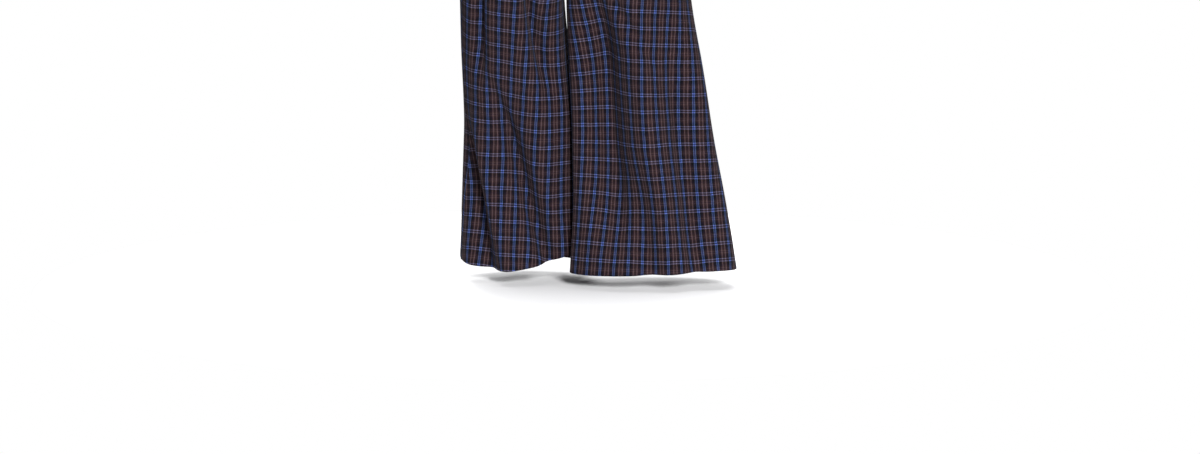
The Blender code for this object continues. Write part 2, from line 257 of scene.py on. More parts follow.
Leg = namedtuple("Leg", "name side rings folds lifts bumps")
LEFT = Leg("left", 1, LEFT_RINGS, LEFT_FOLDS, LEFT_LIFTS, scattered_bumps(11))
RIGHT = Leg("right", -1, RIGHT_RINGS, RIGHT_FOLDS, RIGHT_LIFTS, scattered_bumps(12))


def lifted(leg, drops, angles):
    """The drops after the hem is carried up."""
    height = sum(
        lift.height * np.exp(-((wrapped(angles - lift.angle) / lift.spread) ** 2))
        for lift in leg.lifts
    )
    return drops - height * ease((drops - LIFT_START_DROP) / (HEM_DROP - LIFT_START_DROP))


def reach(ring, direction):
    """Half the size of a ring in one direction of its own leg's plane."""
    _, _, half_width, half_depth, turn_degrees = ring
    turn = np.radians(turn_degrees)
    wide = direction[0] * np.cos(turn) + direction[1] * np.sin(turn)
    deep = direction[1] * np.cos(turn) - direction[0] * np.sin(turn)
    return np.hypot(half_width * wide, half_depth * deep)


def kept_apart(leg, drops, x, y):
    """Presses the facing sides of the two legs softly against a plane between them."""
    left = through_rows(LEFT.rings, drops)
    right = through_rows(RIGHT.rings, drops)
    across = np.array([left[0] + right[0], left[1] - right[1]])
    span = np.hypot(across[0], across[1])
    normal = across / np.maximum(span, TINY)
    left_reach = reach(left, normal)
    right_reach = reach(right, (-normal[0], normal[1]))
    middle = (right_reach + span - left_reach) / 2
    from_right = (x + right[0]) * normal[0] + (y - right[1]) * normal[1]
    distance = leg.side * (from_right - middle)
    below = ease((drops - CROTCH_DROP) / CLEARANCE_RUN)
    clear = SEAM_GAP / 2 + (LEG_CLEARANCE - SEAM_GAP) / 2 * below
    soft = SEAM_SOFTNESS + PRESSED_SOFTNESS * below
    pressed = clear + soft * np.logaddexp(0.0, (distance - clear) / soft)
    push = np.where(drops > CROTCH_DROP, leg.side * (pressed - distance), 0.0)
    return x + normal[0] * push, y + normal[1] * push


# %% [markdown]
# ## One surface for each leg
#
# With rings, folds, bumps and lifts in place, one function gives the cloth's outer side
# at any drop and angle, moved outwards or inwards by any amount. Everything sewn on the
# legs is made from this one function, so nothing floats and nothing sinks in.

# %% The leg's surface
SEWN_DOWN_WIDTH = 0.030
SEWN_DOWN_RUN = 0.060


def leg_surface(leg, drops, angles, outwards=0.0):
    """World points on a leg's outer side, at drops and angles of one grid."""
    at = lifted(leg, drops, angles)
    out, fore, wide, deep, turn_degrees = through_rows(leg.rings, at)
    turn = np.radians(turn_degrees)
    cosine = np.cos(np.radians(angles) - turn)
    sine = np.sin(np.radians(angles) - turn)
    slant = np.hypot(cosine / wide, sine / deep)
    radius = (wide + deep) / 2
    raised = fold_heights(leg.folds, at, angles, radius)
    raised += bump_heights(leg.bumps, at, angles, radius)
    x_plain = out + wide * cosine * np.cos(turn) - deep * sine * np.sin(turn)
    sewn_down = 1 - ease(x_plain / SEWN_DOWN_WIDTH)
    sewn_down = sewn_down * (1 - ease((at - CROTCH_DROP) / SEWN_DOWN_RUN))
    offset = (raised * (1 - sewn_down) + outwards) / slant
    along_width = wide * cosine + offset * cosine / wide
    along_depth = deep * sine + offset * sine / deep
    x = out + along_width * np.cos(turn) - along_depth * np.sin(turn)
    y = fore + along_width * np.sin(turn) + along_depth * np.cos(turn)
    x, y = kept_apart(leg, at, leg.side * x, y)
    return np.stack([x, y, -at], axis=-1)


# %% [markdown]
# ## The grid of a panel
#
# A front or back panel runs from the side seam to the inner seam, and above the crotch
# to the middle seam. Its rows and columns follow those edges, so the cloth is one grid
# with no cut. The edge columns curl inwards like a pressed seam and close against their
# neighbour's, and the last rows turn round the hem and up inside, as the real cloth does.

# %% Panel grid
HIP_ROWS = 26
CROTCH_ROWS = 34
THIGH_ROWS = 60
SHIN_ROWS = 84
PANEL_COLUMNS = 110
SEAM_EDGE = 0.0016
MIDDLE_OVERLAP = 0.0002

Turn = namedtuple("Turn", "distance outwards")
SEAM_CURL = (
    Turn(0.0009, -0.00010),
    Turn(0.0004, -0.00035),
    Turn(0.0001, -0.00080),
    Turn(-0.0010, -0.00130),
)
HEM_CURL = (
    Turn(0.0010, -0.00005),
    Turn(0.0004, -0.00025),
    Turn(0.0001, -0.00065),
    Turn(0.0000, -0.00115),
    Turn(0.0001, -0.00165),
    Turn(0.0004, -0.00205),
    Turn(0.0010, -0.00225),
    *(Turn(up, -0.00235) for up in (0.0030, 0.0090, 0.0160, 0.0240, 0.0310, HEM_TURN_UP)),
)
HEM_EDGE = 0.0018
HEM_TURNED_BELOW = -0.00125


def panel_drops():
    """A drop for each row down to just above the hem, crowded towards the crotch's curve."""
    hip = np.linspace(BAND_HEIGHT + SEAM_GAP, HIP_DROP, HIP_ROWS + 1)[:-1]
    towards_crotch = np.linspace(1.0, 0.0, CROTCH_ROWS + 1)[:-1] ** 2
    crotch = CROTCH_DROP - (CROTCH_DROP - HIP_DROP) * towards_crotch
    thigh = np.linspace(CROTCH_DROP, KNEE_DROP, THIGH_ROWS + 1)[:-1]
    shin = np.linspace(KNEE_DROP, HEM_DROP - HEM_EDGE, SHIN_ROWS + 1)
    return np.concatenate([hip, crotch, thigh, shin])


def seam_angles(leg, drops):
    """The angle of the side seam, and the angle from there to the inner or middle seam."""
    out, _, wide, _, turn = through_rows(leg.rings, drops)
    cosine = np.clip((-MIDDLE_OVERLAP - out) / wide, -1.0, 1.0)
    inner = np.where(drops < CROTCH_DROP, np.degrees(np.arccos(cosine)), 180.0)
    return SEAM_SWING * turn, inner


def ring_speed(leg, drops, angles):
    """Metres along a ring for each radian of angle."""
    _, _, wide, deep, turn = through_rows(leg.rings, drops)
    from_turn = np.radians(angles - turn)
    return np.hypot(wide * np.sin(from_turn), deep * np.cos(from_turn))


def column_angles(leg, drops, which, shares, from_side=0.0, from_inner=0.0):
    """Angles for columns that lie at shares of the panel, with a distance kept from each seam."""
    swing, inner = seam_angles(leg, drops)
    way = -1.0 if which == "front" else 1.0
    start = np.degrees(from_side / ring_speed(leg, drops, swing))
    end = inner - np.degrees(from_inner / ring_speed(leg, drops, swing + way * inner))
    return swing + way * (start + (end - start) * shares)


def panel_parameters(leg, which):
    """Drops, angles and outward offsets of every grid point, and the plain part's slices."""
    body_drops = panel_drops()
    row_drops = np.concatenate([body_drops, [HEM_DROP - turn.distance for turn in HEM_CURL]])
    row_out = np.concatenate([np.zeros(len(body_drops)), [turn.outwards for turn in HEM_CURL]])
    shares = np.linspace(0.0, 1.0, PANEL_COLUMNS + 1)
    columns = [(0.0, turn.distance, SEAM_EDGE, turn.outwards) for turn in SEAM_CURL[::-1]]
    columns += [(share, SEAM_EDGE, SEAM_EDGE, 0.0) for share in shares]
    columns += [(1.0, SEAM_EDGE, turn.distance, turn.outwards) for turn in SEAM_CURL]
    share, from_side, from_inner, column_out = np.array(columns).T
    angles = column_angles(leg, row_drops[:, None], which, share, from_side, from_inner)
    drops = np.repeat(row_drops[:, None], len(columns), axis=1)
    turned_up = np.where(row_out < HEM_TURNED_BELOW, -1.0, 1.0)
    outwards = row_out[:, None] + turned_up[:, None] * column_out
    plain = (slice(0, len(body_drops)), slice(len(SEAM_CURL), len(SEAM_CURL) + len(shares)))
    return drops, angles, outwards, plain


# %% [markdown]
# ## Laying a panel flat
#
# Each panel's grid is laid flat: every thread length along rows, columns and diagonals
# pulls or pushes until the flat sheet has the lengths of the curved one. The flat place
# of each point, in metres, becomes its UV.

# %% Laying flat
FLATTEN_ROUNDS = 1200
FLATTEN_STEP = 0.22
FLATTEN_CARRY = 0.94


def grid_springs(points):
    """Pairs of grid slices and the length of cloth between them."""
    full = slice(None)
    first = slice(None, -1)
    after = slice(1, None)
    pairs = (
        ((full, first), (full, after)),
        ((first, full), (after, full)),
        ((first, first), (after, after)),
        ((first, after), (after, first)),
    )
    return [(a, b, np.linalg.norm(points[b] - points[a], axis=-1)) for a, b in pairs]


def laid_flat(points):
    """Flat u and v of every grid point, with v upwards."""
    springs = grid_springs(points)
    middle = points.shape[1] // 2
    along_rows = np.cumsum(springs[0][2], axis=1)
    u = np.concatenate([np.zeros((len(points), 1)), along_rows], axis=1)
    u -= u[:, middle : middle + 1]
    v = -np.concatenate([[0.0], np.cumsum(springs[1][2][:, middle])])
    flat = np.stack([u, np.repeat(v[:, None], points.shape[1], axis=1)], axis=-1)
    moving = np.zeros_like(flat)
    for _ in range(FLATTEN_ROUNDS):
        pull = np.zeros_like(flat)
        for a, b, length in springs:
            between = flat[b] - flat[a]
            now = np.hypot(between[..., 0], between[..., 1])
            share = between * (0.5 - 0.5 * length / np.maximum(now, TINY))[..., None]
            pull[a] += share
            pull[b] -= share
        moving = moving * FLATTEN_CARRY + pull * FLATTEN_STEP
        flat += moving
    return flat


def stretch_left(points, flat):
    """The mean and the 99th percentile of the difference in length, as shares."""
    off = []
    for a, b, length in grid_springs(points):
        off.append(np.abs(np.linalg.norm(flat[b] - flat[a], axis=-1) / length - 1.0).ravel())
    every = np.concatenate(off)
    return every.mean(), np.percentile(every, 99)


# %% [markdown]
# ## The grain
#
# A cutter lays each paper pattern on the cloth with its grain line along the warp. Here
# one column from knee to hem is turned upright, and the front and back are set at the
# same height at the side seam, so the check's cross lines meet there as in the photograph.

# %% Grain and matching
Grain = namedtuple("Grain", "column_share shift rise")
GRAINS = {
    "front_left": Grain(0.75, 0.0000, -0.0067),
    "back_left": Grain(0.50, 0.0000, -0.0067),
    "front_right": Grain(0.30, 0.0079, 0.0100),
    "back_right": Grain(0.30, 0.0079, 0.0100),
}


def on_grain(flat, grain):
    """Turns the flat panel so that its grain column stands upright, and sets its place."""
    rows, columns = flat.shape[:2]
    column = int(round(grain.column_share * (columns - 1)))
    knee = rows - SHIN_ROWS
    along = flat[knee, column] - flat[-1, column]
    turn = math.atan2(along[0], along[1])
    turned = np.stack(
        [
            flat[..., 0] * math.cos(turn) - flat[..., 1] * math.sin(turn),
            flat[..., 0] * math.sin(turn) + flat[..., 1] * math.cos(turn),
        ],
        axis=-1,
    )
    turned[..., 1] -= turned[-1, 0, 1] - grain.rise
    turned[..., 0] -= turned[-1, column, 0] - grain.shift
    return turned


def along_curl(turns, edge):
    """Metres of cloth from the plain grid's edge to each turn of a curl."""
    ends = np.array([(edge, 0.0), *turns])
    return np.cumsum(np.linalg.norm(np.diff(ends, axis=0), axis=1))


def onwards(edge, beside):
    """The direction in which flat cloth goes on past an edge."""
    away = edge - beside
    return away / np.linalg.norm(away, axis=-1, keepdims=True)


def with_edges(flat, drops, plain):
    """Adds flat places for the curled seam columns and for the cloth that turns up at the hem."""
    rows = plain[0].stop
    whole = np.zeros((*drops.shape, 2))
    whole[plain] = flat
    for edge, way in ((plain[1].start, -1), (plain[1].stop - 1, 1)):
        away = onwards(whole[:rows, edge], whole[:rows, edge - way])
        for step, run in enumerate(along_curl(SEAM_CURL, SEAM_EDGE), start=1):
            whole[:rows, edge + way * step] = whole[:rows, edge] + away * run
    down = onwards(whole[rows - 1], whole[rows - 2])
    for step, run in enumerate(along_curl(HEM_CURL, HEM_EDGE)):
        whole[rows + step] = whole[rows - 1] + down * run
    return whole


# %% [markdown]
# ## The check
#
# A check is woven: one order of colours in the warp, which runs down the leg, and another
# in the weft, which runs round it. A picture would do, but it would only be as sharp as
# its pixels. Here each order is a small chart of bands in millimetres, as a weaver writes
# it, so the check stays sharp at any size and can be recoloured in one place.

# %% Colour charts
Band = namedtuple("Band", "width colour")
BLUE = (0.0052, 0.0150, 0.0560)
PALE_BLUE = (0.0300, 0.0480, 0.1000)
LAVENDER = (0.0580, 0.0490, 0.0740)
NAVY = (0.0032, 0.0030, 0.0080)
NEAR_BLACK = (0.0006, 0.0006, 0.0014)
PLUM = (0.0042, 0.0021, 0.0052)
BROWN = (0.0130, 0.0064, 0.0068)
RUST = (0.0180, 0.0085, 0.0082)
CLAY = (0.0330, 0.0170, 0.0170)
TAN = (0.0640, 0.0380, 0.0370)

WARP_CHART = (
    Band(1.3, PALE_BLUE),
    Band(1.6, BLUE),
    Band(1.3, PALE_BLUE),
    Band(2.2, NEAR_BLACK),
    Band(2.0, PLUM),
    Band(1.1, BROWN),
    Band(1.4, TAN),
    Band(1.3, RUST),
    Band(1.4, BROWN),
    Band(1.3, RUST),
    Band(1.4, TAN),
    Band(1.1, BROWN),
    Band(2.0, PLUM),
    Band(2.2, NEAR_BLACK),
)
WEFT_CHART = (
    Band(1.4, LAVENDER),
    Band(2.2, NAVY),
    Band(1.4, LAVENDER),
    Band(2.7, NEAR_BLACK),
    Band(2.6, PLUM),
    Band(2.3, BROWN),
    Band(1.2, CLAY),
    Band(1.3, PLUM),
    Band(1.2, CLAY),
    Band(2.3, BROWN),
    Band(2.6, PLUM),
    Band(3.8, NEAR_BLACK),
)
REPEAT_ACROSS = sum(band.width for band in WARP_CHART) / 1000
REPEAT_DOWN = sum(band.width for band in WEFT_CHART) / 1000
print(f"the check repeats every {REPEAT_ACROSS * 1000:.1f} mm across, {REPEAT_DOWN * 1000:.1f} mm down")

# %% [markdown]
# ## Helpers for shader nodes
#
# A node tree is easier to read as a sentence than as a list of links. Each helper adds one
# node, joins what it is given and returns the socket that the next step needs.

# %% Node helpers
Mottle = namedtuple("Mottle", "scale least most detail", defaults=(2.0,))


def fill_inputs(tree, node, inputs):
    """Each input is given a plain value to hold, or another node's socket to link."""
    for key, value in inputs.items():
        if isinstance(value, bpy.types.NodeSocket):
            tree.links.new(value, node.inputs[key])
        else:
            node.inputs[key].default_value = value


def add_node(tree, kind, inputs, **settings):
    node = tree.nodes.new(kind)
    for setting, value in settings.items():
        setattr(node, setting, value)
    fill_inputs(tree, node, inputs)
    return node


def new_material(name, finish):
    """A material whose shader holds the plain values of a finish."""
    material = bpy.data.materials.new(name)
    material.use_nodes = True
    tree = material.node_tree
    shader = tree.nodes["Principled BSDF"]
    fill_inputs(tree, shader, finish)
    return material, tree, shader


def math_node(tree, operation, *values, kind="ShaderNodeMath"):
    return add_node(tree, kind, dict(enumerate(values)), operation=operation).outputs[0]


def vector_node(tree, operation, *values):
    return math_node(tree, operation, *values, kind="ShaderNodeVectorMath")


def scaled(tree, colour, amount):
    inputs = {0: colour, "Scale": amount}
    return add_node(tree, "ShaderNodeVectorMath", inputs, operation="SCALE").outputs[0]


def mixed(tree, amount, first, second):
    """A Mix node holds its two colours in the sockets 6 and 7, and gives output 2."""
    inputs = {"Factor": amount, 6: first, 7: second}
    return add_node(tree, "ShaderNodeMix", inputs, data_type="RGBA").outputs[2]


def noise(tree, vector, scale, detail):
    inputs = {"Vector": vector, "Scale": scale, "Detail": detail}
    return add_node(tree, "ShaderNodeTexNoise", inputs).outputs["Fac"]


def uneven(tree, vector, mottle):
    """A noise spread between two shares, to multiply a colour with."""
    cloudy = noise(tree, vector, mottle.scale, mottle.detail)
    return math_node(tree, "MULTIPLY_ADD", cloudy, mottle.most - mottle.least, mottle.least)


def wave(tree, position, pitch):
    """A sine that comes round once for each pitch of a position."""
    return math_node(tree, "SINE", math_node(tree, "MULTIPLY", position, 2 * math.pi / pitch))


def chart_ramp(tree, chart, position):
    """A stepped colour ramp that holds one repeat of a chart."""
    node = add_node(tree, "ShaderNodeValToRGB", {"Fac": position})
    ramp = node.color_ramp
    ramp.interpolation = "CONSTANT"
    total = sum(band.width for band in chart)
    start = 0.0
    for index, band in enumerate(chart):
        stop = ramp.elements[0] if index == 0 else ramp.elements.new(start / total)
        stop.position = start / total
        stop.color = (*band.colour, 1.0)
        start += band.width
    ramp.elements.remove(ramp.elements[-1])
    return node.outputs["Color"]


# %% [markdown]
# ## The brushed cloth
#
# The flat place of each point picks a thread in the warp chart and one in the weft chart.
# A fine diagonal twill lets the warp lie on top here and the weft there. Where a blue and
# a pale thread cross, both show, so the crossing is brighter than either. Long noises
# along the threads are their slubs, and a fine one is the brushed nap. The cloth has
# almost no gloss, only a faint sheen from its fibres.

# %% Cloth material
UV_NAME = "cloth"
TWILL_PITCH = 0.0012
TWILL_SPREAD = 0.25
WEFT_SHARE = 0.46
THREAD_PITCH = 0.00055
CROSSING_GAIN = (4.0, 14.0, 22.0)
SLUB_LONG = 70.0
SLUB_FINE = 1500.0
SLUBS = Mottle(1.0, 0.25, 1.75)
SWAY = Mottle(45.0, -0.0008, 0.0008, 3.0)
NAP_SCALE = 1400.0
NAP_DETAIL = 3.0
NAP_LIGHT = 0.5
TUFTS = Mottle(520.0, 0.55, 1.45)
WEAR = Mottle(60.0, 0.85, 1.15)
RELIEF_STRENGTH = 0.35
RELIEF_HEIGHT = 0.0002
CLOTH_FINISH = {
    "Roughness": 0.92,
    "Specular IOR Level": 0.10,
    "Sheen Weight": 0.02,
    "Sheen Roughness": 0.55,
    "Sheen Tint": (0.75, 0.72, 0.85, 1.0),
}


def thread_order(tree, chart, repeat, position, slub_at):
    """The colours of one set of threads, with slubs that run along them."""
    place = math_node(tree, "FRACT", math_node(tree, "DIVIDE", position, repeat))
    return scaled(tree, chart_ramp(tree, chart, place), uneven(tree, slub_at, SLUBS))


def woven_colour(tree, place, x, y):
    """Warp and weft by turns in a twill, and brighter where both are pale or blue."""
    sway = uneven(tree, place, SWAY)
    across = math_node(tree, "ADD", x, sway)
    down = math_node(tree, "ADD", y, sway)
    along_warp = vector_node(tree, "MULTIPLY", place, (SLUB_FINE, SLUB_LONG, 1.0))
    along_weft = vector_node(tree, "MULTIPLY", place, (SLUB_LONG, SLUB_FINE, 1.0))
    warp = thread_order(tree, WARP_CHART, REPEAT_ACROSS, across, along_warp)
    weft = thread_order(tree, WEFT_CHART, REPEAT_DOWN, down, along_weft)
    twill = wave(tree, math_node(tree, "ADD", x, y), TWILL_PITCH)
    over = math_node(tree, "MULTIPLY_ADD", twill, TWILL_SPREAD, WEFT_SHARE)
    woven = mixed(tree, over, warp, weft)
    crossing = vector_node(tree, "MULTIPLY", warp, weft)
    return vector_node(tree, "MULTIPLY_ADD", crossing, CROSSING_GAIN, woven)


def check_material(name):
    material, tree, shader = new_material(name, CLOTH_FINISH)
    place = add_node(tree, "ShaderNodeUVMap", {}, uv_map=UV_NAME).outputs["UV"]
    split = add_node(tree, "ShaderNodeSeparateXYZ", {"Vector": place}).outputs
    nap = noise(tree, place, NAP_SCALE, NAP_DETAIL)
    shade = math_node(tree, "ADD", nap, NAP_LIGHT)
    for mottle in (TUFTS, WEAR):
        shade = math_node(tree, "MULTIPLY", shade, uneven(tree, place, mottle))
    colour = scaled(tree, woven_colour(tree, place, split["X"], split["Y"]), shade)
    threads = [wave(tree, split[way], THREAD_PITCH) for way in ("X", "Y")]
    relief = {
        "Strength": RELIEF_STRENGTH,
        "Distance": RELIEF_HEIGHT,
        "Height": math_node(tree, "MULTIPLY_ADD", *threads, nap),
    }
    normal = add_node(tree, "ShaderNodeBump", relief).outputs["Normal"]
    fill_inputs(tree, shader, {"Base Color": colour, "Normal": normal})
    return material


CHECK = check_material("brushed_check")

# %% [markdown]
# ## Thread and horn
#
# The seams are sewn in a dark navy thread, whose plies show as a fine light and dark. The
# button is the dark, cloudy horn-like plastic that such trousers often have. Both are
# small, so noises on Object coordinates are enough for them.

# %% Thread and button materials
PLIES = Mottle(2600.0, 0.5, 1.5)
POLISH = Mottle(900.0, 0.46, 0.62)
HORN_CLOUDS = 240.0
HORN_DETAIL = 4.0
DARK_HORN = (0.010, 0.007, 0.006, 1.0)
WARM_HORN = (0.075, 0.040, 0.022, 1.0)


def object_place(tree):
    return tree.nodes.new("ShaderNodeTexCoord").outputs["Object"]


def thread_material(name, colour):
    material, tree, shader = new_material(name, {"Roughness": 0.55})
    plies = uneven(tree, object_place(tree), PLIES)
    fill_inputs(tree, shader, {"Base Color": scaled(tree, colour, plies)})
    return material


def horn_material(name):
    material, tree, shader = new_material(name, {"Specular IOR Level": 0.25})
    place = object_place(tree)
    clouds = noise(tree, place, HORN_CLOUDS, HORN_DETAIL)
    cloudy = mixed(tree, clouds, DARK_HORN, WARM_HORN)
    fill_inputs(tree, shader, {"Base Color": cloudy, "Roughness": uneven(tree, place, POLISH)})
    return material


THREAD = thread_material("navy_thread", (0.012, 0.014, 0.035))
HORN = horn_material("dark_horn")

# %% [markdown]
# ## From grid to sheet
#
# A grid of points becomes a mesh of quads with its flat places as a UV map. A Solidify
# modifier then gives the cloth its wall, inwards from the outer side, which keeps the
# outer side exactly on the surface that the solids have too.

# %% Grid to sheet
def grid_mesh(name, points, flat, outside_is_left, material):
    """Quads over a grid of points, with the flat places as their UV map."""
    rows, columns = points.shape[:2]
    corners = np.arange(rows * columns).reshape(rows, columns)
    faces = np.stack(
        [corners[:-1, :-1], corners[1:, :-1], corners[1:, 1:], corners[:-1, 1:]], axis=-1
    ).reshape(-1, 4)
    if not outside_is_left:
        faces = faces[:, ::-1]
    mesh = bpy.data.meshes.new(name)
    mesh.from_pydata(points.reshape(-1, 3).tolist(), [], faces.tolist())
    layer = mesh.uv_layers.new(name=UV_NAME)
    layer.data.foreach_set("uv", flat.reshape(-1, 2)[faces.reshape(-1)].ravel())
    mesh.materials.append(material)
    mesh.shade_smooth()
    return mesh


def new_object(name, mesh):
    piece = bpy.data.objects.new(name, mesh)
    bpy.context.scene.collection.objects.link(piece)
    return piece


def grid_piece(name, points, flat, outside_is_left, wall, material):
    """A sheet of cloth over a grid of points."""
    piece = new_object(name, grid_mesh(name, points, flat, outside_is_left, material))
    solidify = piece.modifiers.new("wall", "SOLIDIFY")
    solidify.thickness = wall
    solidify.offset = -1.0
    solidify.use_even_offset = False
    return piece


def flat_size(flat):
    """Width, length and area of a flat grid."""
    one = flat[1:, 1:] - flat[:-1, :-1]
    two = flat[:-1, 1:] - flat[1:, :-1]
    area = np.abs(one[..., 0] * two[..., 1] - one[..., 1] * two[..., 0]).sum() / 2
    width, length = np.ptp(flat.reshape(-1, 2), axis=0)
    return float(width), float(length), float(area)


# %% [markdown]
# ## The four panels
#
# Two fronts and two backs make the garment. Each is laid flat to find its grain, then its
# mesh is built in place. The lengths that laying flat could not keep are printed: cloth
# gives on the bias and round deep folds, so a mean of one or two hundredths is no fault.

# %% Cut and hang the four panels
cuts = {}
panels = {}
for leg in (LEFT, RIGHT):
    for which in ("front", "back"):
        name = f"{which}_{leg.name}"
        drops, angles, outwards, plain = panel_parameters(leg, which)
        points = leg_surface(leg, drops, angles, outwards)
        flat = on_grain(laid_flat(points[plain]), GRAINS[name])
        mean_off, most_off = stretch_left(points[plain], flat)
        whole = with_edges(flat, drops, plain)
        outside_is_left = (leg.side > 0) == (which == "back")
        piece = grid_piece(f"{name}_cloth", points, whole, outside_is_left, CLOTH_WALL, CHECK)
        cuts[name] = flat_size(whole)
        panels[name] = piece
        print(
            f"{name}: {cuts[name][0]:.3f} by {cuts[name][1]:.3f} m, {cuts[name][2]:.4f} m2, "
            f"length off by {mean_off:.4f}, 99 in 100 by less than {most_off:.4f}"
        )

# %% [markdown]
# ## The waistband
#
# The band is one strip folded in two along its top edge, so its section is a loop with
# round edges, a little pressed in where it is stitched. The loop is swept round the waist.
# At the front its left end rises over its right end, with the button through both.

# %% Waistband section
BAND_WALL = 0.0026
LAP_OVER = 0.022
LAP_UNDER = 0.018
LAP_RISE = 0.060
LAP_MARGIN = 0.009
BAND_COLUMNS = 420
BAND_SIDE_STEPS = 26
BAND_EDGE_STEPS = 6
STITCH_INSET = 0.004
STITCH_DENT = 0.00025
STITCH_DENT_WIDTH = 0.0012
END_ROUNDING = ((0.0, 0.25), (0.00025, 0.65), (0.0008, 0.92), (0.0016, 1.0))
FRONT = -90.0
FRONT_AGAIN = FRONT - 360.0


def band_surface(drops, angles, outwards):
    """World points on the waist's ring, pushed out by some amount."""
    _, _, wide, deep, _ = through_rows(WAIST_RINGS, drops)
    cosine = np.cos(np.radians(angles))
    sine = np.sin(np.radians(angles))
    slant = np.hypot(cosine / wide, sine / deep)
    x = wide * cosine + outwards / slant * cosine / wide
    y = deep * sine + outwards / slant * sine / deep
    return np.stack([x, y, -drops], axis=-1)


def band_section():
    """Drops and outward offsets round the folded strip, down outside and up inside."""
    half = BAND_WALL / 2
    side = np.linspace(half, BAND_HEIGHT - half, BAND_SIDE_STEPS + 1)
    dent = sum(
        np.exp(-(((side - at) / STITCH_DENT_WIDTH) ** 2))
        for at in (STITCH_INSET, BAND_HEIGHT - STITCH_INSET)
    )
    outer = np.stack([side, -STITCH_DENT * dent], axis=-1)
    inner = np.stack([side, -BAND_WALL + STITCH_DENT * dent], axis=-1)[::-1]
    bend = np.linspace(0.0, math.pi, BAND_EDGE_STEPS + 1)[1:-1]
    bottom = np.stack(
        [BAND_HEIGHT - half + half * np.sin(bend), half * np.cos(bend) - half], axis=-1
    )
    top = np.stack([half - half * np.sin(bend), -half * np.cos(bend) - half], axis=-1)
    return np.concatenate([outer, bottom, inner, top, outer[:1]])


def round_front(distance):
    """Degrees round the waist's front for a distance along it."""
    return np.degrees(distance / WAIST_RINGS[0].half_width)


def band_angles():
    """Angles along the band from its right end round the back to its left end."""
    start = FRONT + round_front(LAP_UNDER)
    end = FRONT_AGAIN - round_front(LAP_OVER)
    rounding = round_front(np.array([distance for distance, _ in END_ROUNDING]))
    middle = np.linspace(start - rounding[-1], end + rounding[-1], BAND_COLUMNS + 1)[1:-1]
    return np.concatenate([start - rounding, middle, (end + rounding)[::-1]])


def lap_rise(angles):
    """How far the left end stands out over the right one."""
    rise_end = FRONT_AGAIN + round_front(LAP_UNDER + LAP_MARGIN)
    rise_start = rise_end + round_front(LAP_RISE)
    return (BAND_WALL + SEAM_GAP) * ease((rise_start - angles) / (rise_start - rise_end))


# %% [markdown]
# The two ends of the strip are rounded by drawing their sections in, and closed with one
# face each. The flat places run along the band, so its stripes stand up as on the panels.

# %% Sew the waistband
def end_shares(count):
    """How full the section is at each column: drawn in at both ends."""
    shares = np.ones(count)
    drawn_in = [share for _, share in END_ROUNDING]
    shares[: len(drawn_in)] = drawn_in
    shares[-len(drawn_in) :] = drawn_in[::-1]
    return shares


def band_piece(name):
    section = band_section()
    angle_row = band_angles()
    centre = np.array([BAND_HEIGHT / 2, -BAND_WALL / 2])
    away = section - centre
    full = end_shares(len(angle_row))
    edge = centre[0] - BAND_WALL / 2 + BAND_WALL / 2 * full
    drops = centre[0] + away[:, :1] / centre[0] * edge
    outwards = centre[1] + away[:, 1:] * full + lap_rise(angle_row)
    angles = np.repeat(angle_row[None, :], len(section), axis=0)
    points = band_surface(drops, angles, outwards)
    middle = band_surface(np.full(len(angle_row), centre[0]), angle_row, lap_rise(angle_row))
    steps = np.linalg.norm(np.diff(middle, axis=0), axis=1)
    along = np.concatenate([[0.0], np.cumsum(steps)])
    round_section = np.concatenate([[0.0], np.cumsum(np.hypot(*np.diff(section, axis=0).T))])
    flat = np.stack(np.broadcast_arrays(along[None, :], -round_section[:, None]), axis=-1)
    mesh = grid_mesh(name, points, flat, False, CHECK)
    closed_ends(mesh)
    return new_object(name, mesh), along[-1]


def closed_ends(mesh):
    """Joins the section's first and last points and puts a face across each end."""
    shape = bmesh.new()
    shape.from_mesh(mesh)
    bmesh.ops.remove_doubles(shape, verts=shape.verts, dist=TINY)
    open_edges = [edge for edge in shape.edges if edge.is_boundary]
    bmesh.ops.holes_fill(shape, edges=open_edges)
    bmesh.ops.recalc_face_normals(shape, faces=shape.faces)
    shape.to_mesh(mesh)
    shape.free()


waistband, band_length = band_piece("waistband_cloth")
print(f"waistband: {band_length:.3f} m long, {len(waistband.data.polygons)} faces")

# %% [markdown]
# ## The fly shield
#
# Behind the fly lies a strip that covers the opening from inside. It follows the fronts
# at a small distance, and its lower end is rounded.

# %% Fly shield
SHIELD_LEFT = 0.018
SHIELD_RIGHT = 0.022
SHIELD_BOTTOM = 0.185
SHIELD_ROUNDING = 0.012
SHIELD_ROUNDED = 0.035
SHIELD_GAP = 0.0013
SHIELD_ROWS = 90
SHIELD_COLUMNS = 26


def shield_surface(drops, across, behind):
    """World points at a distance behind the two fronts, near the middle."""
    low = ease((drops - SHIELD_BOTTOM + SHIELD_ROUNDED) / SHIELD_ROUNDED)
    rounded = drops - (across / SHIELD_RIGHT) ** 2 * SHIELD_ROUNDING * low
    _, fore, wide, deep, _ = through_rows(WAIST_RINGS, rounded)
    y = fore - deep * np.sqrt(1 - (across / wide) ** 2) + behind
    return np.stack([across, y, -rounded], axis=-1)


